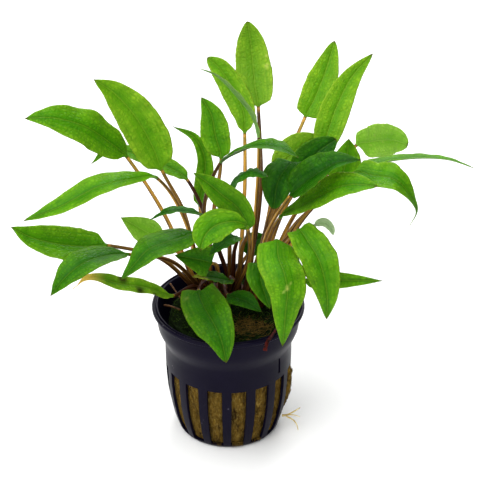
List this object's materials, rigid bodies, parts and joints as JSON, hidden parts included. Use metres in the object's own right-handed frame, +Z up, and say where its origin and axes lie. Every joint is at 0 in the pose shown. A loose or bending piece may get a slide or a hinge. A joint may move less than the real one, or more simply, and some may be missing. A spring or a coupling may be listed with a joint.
{
  "type": "potted aquarium plant",
  "caption": "Bushy aquarium plant with pointed green leaves on thin brown stalks, rooted in rock wool in a small slotted black net pot.",
  "frame": {"origin": "middle of the flat underside of the pot", "axes": "+Z up along the pot's axis, -Y towards the plant's front, +X to the right seen from the front"},
  "size_m": [0.1622, 0.0965, 0.14],
  "materials": {
    "pot_plastic": "satin",
    "rock_wool": "matte",
    "moss": "matte",
    "rootstock": "matte",
    "leaf_green": "satin",
    "leaf_pale": "satin",
    "leaf_dark": "satin",
    "leaf_ageing": "satin",
    "root": "matte",
    "dead_leaf": "matte"
  },
  "bodies": {
    "root": {"pot": "pot_plastic", "rock_wool": "rock_wool", "moss_mat": "moss", "crown_left": "rootstock", "crown_middle": "rootstock", "crown_right": "rootstock", "leaf_01": "leaf_green", "leaf_02": "leaf_green", "leaf_03": "leaf_green", "leaf_04": "leaf_green", "leaf_05": "leaf_green", "leaf_06": "leaf_ageing", "leaf_07": "leaf_pale", "leaf_08": "leaf_dark", "leaf_09": "leaf_dark", "leaf_10": "leaf_green", "leaf_11": "leaf_green", "leaf_12": "leaf_green", "leaf_13": "leaf_green", "leaf_14": "leaf_green", "leaf_15": "leaf_green", "leaf_16": "leaf_pale", "leaf_17": "leaf_green", "leaf_18": "leaf_dark", "leaf_19": "leaf_green", "leaf_20": "leaf_green", "leaf_21": "leaf_green", "leaf_22": "leaf_dark", "leaf_23": "leaf_ageing", "leaf_24": "leaf_dark", "leaf_25": "leaf_dark", "leaf_26": "leaf_green", "leaf_27": "leaf_green", "leaf_28": "leaf_pale", "leaf_29": "leaf_green", "leaf_30": "leaf_green", "leaf_31": "leaf_green", "leaf_32": "leaf_dark", "leaf_33": "leaf_dark", "leaf_34": "leaf_green", "leaf_35": "leaf_pale", "leaf_36": "leaf_green", "leaf_37": "leaf_green", "leaf_38": "leaf_green", "leaf_39": "leaf_green", "leaf_40": "leaf_pale", "leaf_41": "leaf_dark", "root_upper": "root", "root_middle": "root", "root_lower": "root", "dead_leaf_rim": "dead_leaf", "dead_stalk_left": "dead_leaf", "dead_stalk_back": "dead_leaf"}
  },
  "joints": []
}
